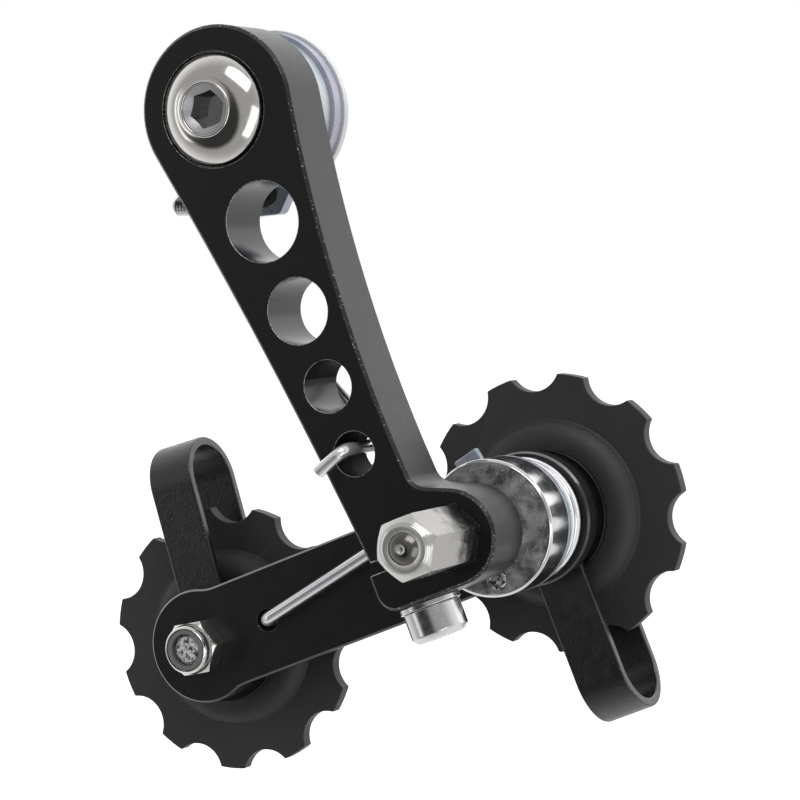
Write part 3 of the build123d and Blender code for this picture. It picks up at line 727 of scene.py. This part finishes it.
def dress_stop_screw():
    """The solid screw is drawn in to the thread's root, and the thread is wound about it."""
    low, high = (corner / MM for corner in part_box("stop_screw"))
    ridge = STOP_SCREW_PITCH / 2
    core = merged_copy("stop_screw", "stop_screw_core")
    middle = (low + high) / 2
    for point in core.data.vertices:
        across = Vector((0, point.co.y - middle.y * MM, point.co.z - middle.z * MM))
        if across.length > 1.0 * MM:
            point.co -= across.normalized() * ridge * MM
    core.data.materials.append(screw_steel)
    smooth(core)
    mount_piece(core, "stop_screw", "bright_screw", "stop_screw")
    thread = wind_thread("stop_screw_thread", STOP_SCREW_R, STOP_SCREW_PITCH, high.x - low.x - 0.9,
                         screw_steel, (low.x + 0.5, middle.y, middle.z), (1, 0, 0))
    mount_piece(thread, "stop_screw", "bright_screw")


def dress_collar_screw():
    """Small screw in the collar's face, just clear of the arm when the axle slides forwards."""
    low, high = (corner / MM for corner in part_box("collar_screw"))
    middle = (low + high) / 2
    centre = (middle.x, middle.z)
    radius = (high.x - low.x) / 2
    front = low.y + 0.05
    profile = [(0, high.y), (radius, high.y), (radius, front + 0.15), (radius - 0.15, front),
               (radius - 0.4, front), (radius - 0.55, front + 0.35), (0.2, front + 0.2), (0, front + 0.6)]
    piece = turned("collar_screw_head", centre, profile, 48)
    piece.data.materials.append(battered_steel)
    smooth(piece)
    mount_piece(piece, "axle", "bright_screw", "collar_screw")


dress_stop_screw()
dress_plain("lock_screw", "stop", "black_screw", black_steel, 0.05)
dress_plain("pinch_screw", "pinch", "bright_screw", screw_steel, 0.2)
dress_plain("pinch_washer", "arm", "bright_screw", screw_steel, 0.12)
dress_collar_screw()


# Pivot axle: a hexagon bar of steel, its flats dull from the mill, its end turned and bevelled bright.
# The turning tool has left fine rings and a dark pip, with a small pilot hole in its tip.
# The ramps of the painted reflection, the dark arm's image on the flats, are depths along Y, in metres: it
# thickens towards the arm and ends inside it.
AXLE_STEEL = (0.40, 0.392, 0.38, 1)
AXLE_END_STEEL = (0.60, 0.59, 0.57, 1)
PIP_STEEL = (0.16, 0.155, 0.15, 1)
# Colour of dark flecks, and of the painted reflection of the dark arm on the flats near it.
FLECK_AND_REFLECTION_DARK = (0.07, 0.068, 0.066, 1)
PAINTED_REFLECTION_GROWS = (-0.0275, -0.0195)
PAINTED_REFLECTION_ENDS = (-0.010, -0.006)
NOSE_R = 3.5
PIP_H = 0.9


def make_ring_group():
    """Turning rings about an axis along Y: Height waves with the distance from the given centre."""
    sockets = {"Vector": None, "Centre X": 0.0, "Centre Z": 0.0, "Pitch": 0.0002}
    group, given, out = new_group("turning rings", sockets, ("Height",))
    split = add(group, "ShaderNodeSeparateXYZ", {0: given["Vector"]}).outputs
    across = math_node(group, "SUBTRACT", split["X"], given["Centre X"])
    along = math_node(group, "SUBTRACT", split["Z"], given["Centre Z"])
    across = math_node(group, "POWER", across, 2.0)
    along = math_node(group, "POWER", along, 2.0)
    distance = math_node(group, "SQRT", math_node(group, "ADD", across, along))
    turns = math_node(group, "DIVIDE", distance, given["Pitch"])
    rings = add(group, "ShaderNodeTexNoise", {"W": turns, "Scale": 1.0, "Detail": 2.0},
                noise_dimensions="1D")
    group.links.new(rings.outputs["Fac"], out["Height"])
    return group


ring_group = make_ring_group()
pivot_low, pivot_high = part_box("spring_collar")
pivot_at = (pivot_low + pivot_high) / 2


def ring_height(tree, place, pitch):
    """Height map of turning rings about the pivot axis, with a pitch in metres."""
    centre = {"Centre X": pivot_at.x, "Centre Z": pivot_at.z}
    return place_group(tree, ring_group, place, Pitch=pitch, **centre)["Height"]


def make_turned_steel(name, colour, low, high, depth, metallic=1.0):
    """Steel with turning rings about the pivot axis."""
    material, tree, shader, place = new_material(name, metallic)
    shader.inputs["Base Color"].default_value = colour
    polish = place_group(tree, grain_group, place, Scale=800.0, Low=low, High=high)
    tree.links.new(polish["Value"], shader.inputs["Roughness"])
    bump(tree, shader, ring_height(tree, place, 0.00022), depth)
    return material


def make_flats_with_painted_reflection():
    """Dull bar whose flats are painted dark towards the arm, as the arm's reflection, and flecked dark."""
    material, tree, shader, place = new_material("axle flats", metallic=0.85)
    depth = add(tree, "ShaderNodeSeparateXYZ", {0: place}).outputs["Y"]
    cloud = place_group(tree, grain_group, place, Scale=330.0, Low=-0.0035, High=0.0035)["Value"]
    # Painted reflection: the flats darken towards the arm as if mirroring it, and clear again inside it.
    near_arm = ramp_node(tree, math_node(tree, "ADD", depth, cloud), *PAINTED_REFLECTION_GROWS, 0.0, 1.0)
    arm_reflection = math_node(tree, "MULTIPLY", near_arm, ramp_node(tree, depth, *PAINTED_REFLECTION_ENDS, 1.0, 0.0))
    fleck = place_group(tree, speck_group, place, Scale=2400.0, Share=0.10)["Mask"]
    dull = mix_colours(tree, arm_reflection, AXLE_STEEL, FLECK_AND_REFLECTION_DARK)
    tree.links.new(mix_colours(tree, fleck, dull, FLECK_AND_REFLECTION_DARK), shader.inputs["Base Color"])
    polish = place_group(tree, grain_group, place, Scale=1100.0, Low=0.16, High=0.30)
    tree.links.new(polish["Value"], shader.inputs["Roughness"])
    bump(tree, shader, polish["Height"], 0.000012)
    return material


def dress_axle():
    """The front of the solid bar is cut away for a turned nose of its own, with a rim, a cone and a pip."""
    piece = merged_copy("pivot_axle", "pivot_axle_bar")
    flats = make_flats_with_painted_reflection()
    end = make_turned_steel("axle turned end", AXLE_END_STEEL, 0.12, 0.22, 0.00003, metallic=0.75)
    pip = make_turned_steel("axle pip", PIP_STEEL, 0.16, 0.24, 0.00001)
    piece.data.materials.append(flats)
    piece.data.materials.append(end)
    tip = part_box("pivot_axle")[0].y / MM
    face_at = tip + PIP_H
    foot = face_at + 0.3
    centre = (pivot_at.x / MM, pivot_at.z / MM)
    cutter = turned("nose_cut", centre, [(0, tip - 1), (NOSE_R, tip - 1), (NOSE_R, foot), (0, foot)])
    combine(piece, cutter, "DIFFERENCE")
    paint_faces(piece, 1, lambda face: face.center.y < (face_at + 1.0) * MM and face.normal.y < -0.2)
    round_edges(piece, 0.1, sharp_angle=20)
    smooth(piece, 25)
    mount_piece(piece, "axle", "axle_steel", "pivot_axle")
    rim = [(NOSE_R, foot), (NOSE_R, face_at), (3.38, face_at - 0.1), (3.1, face_at - 0.17),
           (2.75, face_at - 0.17), (2.45, face_at - 0.1), (2.25, face_at)]
    cone = [(2.12, face_at - 0.12), (1.9, face_at - 0.33), (1.6, face_at - 0.55), (1.25, face_at - 0.73),
            (0.95, face_at - 0.84), (0.75, tip), (0.55, tip), (0.42, tip + 0.1), (0.36, tip + 0.5)]
    nose = turned("pivot_axle_nose", centre, [(0, foot), *rim, *cone, (0, tip + 0.5)])
    nose.data.materials.append(end)
    nose.data.materials.append(pip)

    def on_cone(face):
        reach = math.hypot(face.center.x - pivot_at.x, face.center.z - pivot_at.z)
        return face.center.y < (face_at - 0.05) * MM and 0.8 * MM < reach < 2.2 * MM

    paint_faces(nose, 1, on_cone)
    smooth(nose, 40)
    mount_piece(nose, "axle", "axle_steel")


dress_axle()


# Spring collar and anchor washer: the collar is turned steel, its face dull and pitted, its rims polished.
# The washer behind it is plated as the stop plate is.
COLLAR_DULL = (0.13, 0.13, 0.135, 1)
COLLAR_LIGHT = (0.62, 0.62, 0.63, 1)
COLLAR_RIM = (0.74, 0.74, 0.75, 1)


def make_mottled_steel():
    """Dull steel in dark and light patches, with pits."""
    material, tree, shader, place = new_material("collar face", metallic=0.6)
    patches = place_group(tree, grain_group, place, Scale=330.0, Low=-0.3, High=1.2)
    flecks = place_group(tree, speck_group, place, Scale=2600.0, Share=0.25)["Mask"]
    patched = mix_colours(tree, patches["Value"], COLLAR_DULL, COLLAR_LIGHT)
    tree.links.new(mix_colours(tree, flecks, patched, COLLAR_RIM), shader.inputs["Base Color"])
    finish = place_group(tree, grain_group, place, Scale=900.0, Low=0.22, High=0.42)
    tree.links.new(finish["Value"], shader.inputs["Roughness"])
    pits = place_group(tree, grain_group, place, Scale=2600.0, Low=0.0, High=1.0)
    relief = math_node(tree, "ADD", pits["Height"], ring_height(tree, place, 0.00016))
    bump(tree, shader, relief, 0.00004)
    return material


def dress_collar():
    piece = merged_copy("spring_collar", "spring_collar_turned")
    piece.data.materials.append(make_mottled_steel())
    piece.data.materials.append(make_turned_steel("collar rim", COLLAR_RIM, 0.10, 0.16, 0.000004))
    paint_faces(piece, 1, lambda face: face.normal.y > -0.95)
    round_edges(piece, 0.12, rim_material=1)
    smooth(piece)
    mount_piece(piece, "axle", "collar_steel", "spring_collar")


dress_collar()
dress_plain("anchor_washer", "axle", "zinc_plate", plate_zinc, 0.2)


# Torsion spring: one length of bright round wire. Its tail goes into the cage plate's hole, its coil winds
# round the axle, and its front leg doubles back behind the arm and hooks through the arm's lowest hole.
# The hook's and hairpin's points are (x, z), and CAGE_TURN is the cage's direction at rest, in degrees.
WIRE_R = 0.95
WIRE_PALE = (0.80, 0.81, 0.83, 1)
WIRE_MARK = (0.16, 0.16, 0.17, 1)
BEND_R = 1.7
HOOK_LEG = (21.6, -48.6)
HOOK_END = (17.6, -51.9)
HAIRPIN = ((17.9, -33.9), (9.9, -36.6))
HOOK_GAP = 0.3
HAIRPIN_GAP = 0.6
COIL_R = 8.5
COIL_PITCH = 1.95
COIL_STEPS = 96
PLATE_GAP = 0.3
LEG_CLEAR = 8.6
SPRING_HOLE_REACH = 47.5
CAGE_TURN = 201.9


def rounded_route(points, radius, steps=10):
    """Points along straight runs, with each corner rounded to a radius."""
    route = [points[0]]
    for before, corner, after in zip(points, points[1:], points[2:]):
        come = (corner - before).normalized()
        go = (after - corner).normalized()
        bend = come.angle(go)
        if bend < 0.02:
            route.append(corner)
            continue
        reach = radius * math.tan(bend / 2)
        centre = corner + (go - come).normalized() * radius / math.cos(bend / 2)
        first = corner - come * reach
        spoke = first - centre
        normal = come.cross(go).normalized()
        for step in range(steps + 1):
            route.append(centre + Matrix.Rotation(bend * step / steps, 3, normal) @ spoke)
    return route + [points[-1]]


def spring_route():
    """Centre lines in millimetres of the coil with its tail, and of the leg with its hook.

    The third value is the corner where the leg leaves the coil's line, the point from which the real leg
    bends when the axle slides."""
    arm_low, arm_high = (corner.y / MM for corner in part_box("arm"))
    cage_low, cage_high = (corner.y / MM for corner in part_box("cage_plate"))
    centre = Vector((pivot_at.x, 0, pivot_at.z)) / MM
    rear = cage_low - PLATE_GAP - WIRE_R
    behind = arm_high + WIRE_R + HAIRPIN_GAP
    over = arm_low - WIRE_R - HOOK_GAP
    to_hook = Vector((HOOK_LEG[0], 0, HOOK_LEG[1])) - centre
    hook_turn = math.degrees(math.atan2(to_hook.z, to_hook.x))
    first = hook_turn + 90 - math.degrees(math.asin(COIL_R / to_hook.length))
    last = CAGE_TURN - 90 + math.degrees(math.asin(COIL_R / SPRING_HOLE_REACH)) + 720
    coil = []
    for step in range(COIL_STEPS + 1):
        turn = last + (first - last) * step / COIL_STEPS
        angle = math.radians(turn)
        depth = rear - COIL_PITCH * (last - turn) / 360
        x = centre.x + COIL_R * math.cos(angle)
        z = centre.z + COIL_R * math.sin(angle)
        coil.append(Vector((x, depth, z)))
    turn = math.radians(CAGE_TURN)
    hole = centre + Vector((math.cos(turn), 0, math.sin(turn))) * SPRING_HOLE_REACH
    in_plate = Vector((hole.x, cage_high + 0.8, hole.z))
    tail = rounded_route([in_plate, Vector((hole.x, rear, hole.z)), coil[0]], BEND_R)
    angle = math.radians(first)
    lead = -COIL_PITCH / (2 * math.pi * COIL_R)
    leaving = Vector((math.sin(angle), lead, -math.cos(angle))).normalized()
    bend_from = coil[-1] + leaving * LEG_CLEAR
    corners = [Vector((x, behind, z)) for x, z in (*HAIRPIN, HOOK_LEG)]
    corners += [Vector((x, over, z)) for x, z in (HOOK_LEG, HOOK_END)]
    leg = rounded_route([coil[-1], bend_from, *corners], BEND_R)
    return tail[:-1] + coil, [coil[-2]] + leg, bend_from


def make_wire_steel():
    """Bright drawn wire with faint lines along it and a few dark marks."""
    material, tree, shader, place = new_material("spring wire", metallic=0.75)
    marks = place_group(tree, speck_group, place, Scale=1400.0, Share=0.10)["Mask"]
    tree.links.new(mix_colours(tree, marks, WIRE_PALE, WIRE_MARK), shader.inputs["Base Color"])
    polish = place_group(tree, grain_group, place, Scale=700.0, Low=0.09, High=0.17)
    tree.links.new(polish["Value"], shader.inputs["Roughness"])
    return material


def sweep_wire(name, route, steel):
    """Round wire along a centre line in millimetres, closed at both ends."""
    data = bpy.data.curves.new(name + "_line", "CURVE")
    data.dimensions = "3D"
    line = data.splines.new("POLY")
    line.points.add(len(route) - 1)
    for point, place in zip(line.points, route):
        point.co = (*(place * MM), 1)
    data.bevel_depth = WIRE_R * MM
    data.bevel_resolution = 6
    data.use_fill_caps = True
    line_object = bpy.data.objects.new(name + "_line", data)
    bpy.context.scene.collection.objects.link(line_object)
    bpy.context.view_layer.update()
    graph = bpy.context.evaluated_depsgraph_get()
    mesh = bpy.data.meshes.new_from_object(line_object.evaluated_get(graph))
    bpy.data.objects.remove(line_object)
    piece = bpy.data.objects.new(name, mesh)
    bpy.context.scene.collection.objects.link(piece)
    mesh.materials.clear()
    mesh.materials.append(steel)
    smooth(piece, 50)
    return piece


def dress_spring():
    """The coil winds between the axle and the cage; the leg bends between the axle and the arm."""
    coil_route, leg_route, bend_from = spring_route()
    steel = make_wire_steel()
    coil = sweep_wire("torsion_spring_coil", coil_route, steel)
    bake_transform(coil)
    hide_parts("torsion_spring")
    leg = sweep_wire("torsion_spring_leg", leg_route, steel)
    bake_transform(leg)


dress_spring()


# Cage: flat steel plate from the pivot to the lower pulley, in satin black coat, with its bush and shim,
# and the straps that keep the chain on the pulleys. The coat is thin along the plate's edges, which catch
# the light, and the upper front edge is painted a lighter grey steel as a highlight line.
COAT_BLACK = (0.0045, 0.0045, 0.0047, 1)
COAT_SPECK = (0.30, 0.30, 0.30, 1)
# Painted highlight: colour of the plate's upper front edge, a lighter grey steel.
UPPER_EDGE_HIGHLIGHT = (0.22, 0.22, 0.22, 1)
BRIGHT_PLATING = (0.72, 0.71, 0.69, 1)


def make_black_coat(name, low, high, share, rough=0.00001, sheen=0.5):
    """Satin black coat with a few pale specks."""
    material, tree, shader, place = new_material(name)
    shader.inputs["Specular IOR Level"].default_value = sheen
    specks = place_group(tree, speck_group, place, Scale=3000.0, Share=share)["Mask"]
    tree.links.new(mix_colours(tree, specks, COAT_BLACK, COAT_SPECK), shader.inputs["Base Color"])
    finish = place_group(tree, grain_group, place, Scale=600.0, Low=low, High=high)
    tree.links.new(finish["Value"], shader.inputs["Roughness"])
    lumps = place_group(tree, grain_group, place, Scale=1800.0, Low=0.0, High=1.0)
    bump(tree, shader, lumps["Height"], rough)
    return material


def dress_keeper(node):
    """Dress a coated strap, its sharp edges rounded and worn lighter."""
    piece = merged_copy(node, node + "_shown")
    piece.data.materials.append(keeper_coat)
    piece.data.materials.append(edge_coat)
    round_edges(piece, 0.3, rim_material=1)
    smooth(piece)
    mount_piece(piece, "cage", "black_plate", node)


def dress_plate():
    piece = merged_copy("cage_plate", "cage_plate_shown")
    piece.data.materials.append(make_black_coat("plate coat", 0.34, 0.42, 0.05))
    piece.data.materials.append(edge_coat)
    # The upper front edge is painted a lighter grey steel as a highlight line.
    upper_edge_highlight = make_bright_steel("plate upper edge painted highlight", UPPER_EDGE_HIGHLIGHT, 0.2, 0.3, dirt=0.2, metallic=0.6)
    piece.data.materials.append(upper_edge_highlight)
    paint_faces(piece, 1, lambda face: 0.4 < abs(face.normal.y) < 0.9)
    paint_faces(piece, 2, lambda face: -0.9 < face.normal.y < -0.4 and face.normal.z > 0.4)
    round_edges(piece, 0.12, sharp_angle=60, rim_material=1)
    smooth(piece)
    mount_piece(piece, "cage", "black_plate", "cage_plate")


edge_coat = make_black_coat("thin coat on edges", 0.20, 0.28, 0.20, sheen=1.0)
keeper_coat = make_black_coat("keeper coat", 0.30, 0.42, 0.06, rough=0.00006, sheen=1.0)
dress_plate()
dress_keeper("guide_keeper")
dress_keeper("tension_keeper")
nut_plate = make_bright_steel("bright plating", BRIGHT_PLATING, 0.14, 0.24, dent=0.000006, dirt=0.02)
dress_plain("cage_bush", "cage", "plated_nut", nut_plate, 0.1)
dress_plain("tension_shim", "cage", "plated_nut", nut_plate, 0.1)


# Pulleys: eleven-tooth wheels moulded in matt black plastic, each with a raised dish on both sides.
# They run on sintered bushes between dished steel caps.
PLASTIC_BLACK = (0.020, 0.020, 0.0205, 1)
PLASTIC_SPECK = (0.040, 0.040, 0.040, 1)
BRONZE = (0.55, 0.38, 0.20, 1)


def make_pulley_plastic():
    """Matt moulded plastic with a fine grain and faint paler specks."""
    material, tree, shader, place = new_material("pulley plastic")
    specks = place_group(tree, speck_group, place, Scale=2600.0, Share=0.22)["Mask"]
    tree.links.new(mix_colours(tree, specks, PLASTIC_BLACK, PLASTIC_SPECK), shader.inputs["Base Color"])
    finish = place_group(tree, grain_group, place, Scale=300.0, Low=0.46, High=0.58)
    tree.links.new(finish["Value"], shader.inputs["Roughness"])
    lumps = place_group(tree, grain_group, place, Scale=3500.0, Low=0.0, High=1.0)
    bump(tree, shader, lumps["Height"], 0.00003)
    return material


pulley_plastic = make_pulley_plastic()
dress_plain("guide_pulley", "guide_wheel", "pulley_plastic", pulley_plastic, 0.2)
dress_plain("tension_pulley", "tension_wheel", "pulley_plastic", pulley_plastic, 0.2)
bush_bronze = make_bright_steel("sintered bronze", BRONZE, 0.4, 0.5)
dress_plain("guide_bush", "cage", "bush_bronze", bush_bronze, 0.1)
dress_plain("tension_bush", "cage", "bush_bronze", bush_bronze, 0.1)
cap_coat = make_black_coat("cap plating", 0.22, 0.32, 0.01)
for cap in ("guide_cap_front", "guide_cap_rear", "tension_cap_front", "tension_cap_rear"):
    dress_plain(cap, "cage", "cap_steel", cap_coat, 0.15)


# Fasteners of the cage: a cap screw through the lower pulley with a lock nut in front, and the axle's nut.
# They are bright plated, and the lock nut's collar grips a dark nylon ring.
NYLON = (0.11, 0.11, 0.112, 1)


def make_nylon():
    """Smooth grey nylon with a slightly uneven gloss."""
    material, tree, shader, place = new_material("nylon ring")
    shader.inputs["Base Color"].default_value = NYLON
    finish = place_group(tree, grain_group, place, Scale=900.0, Low=0.34, High=0.44)
    tree.links.new(finish["Value"], shader.inputs["Roughness"])
    return material


def dress_cage_bolt():
    """Cap screw whose cut end, in front, is rough and bright."""
    piece = dress_plain("cage_bolt", "cage", "bright_screw", screw_steel, 0.12)
    piece.data.materials.append(battered_steel)
    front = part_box("cage_bolt")[0].y
    paint_faces(piece, 1, lambda face: face.normal.y < -0.5 and face.center.y < front + 1.0 * MM)


dress_plain("lock_nut", "cage", "plated_nut", nut_plate, 0.12)
dress_plain("nut_insert", "cage", "nut_nylon", make_nylon(), 0.08)
dress_cage_bolt()
dress_plain("axle_end_nut", "axle", "plated_nut", nut_plate, 0.15)
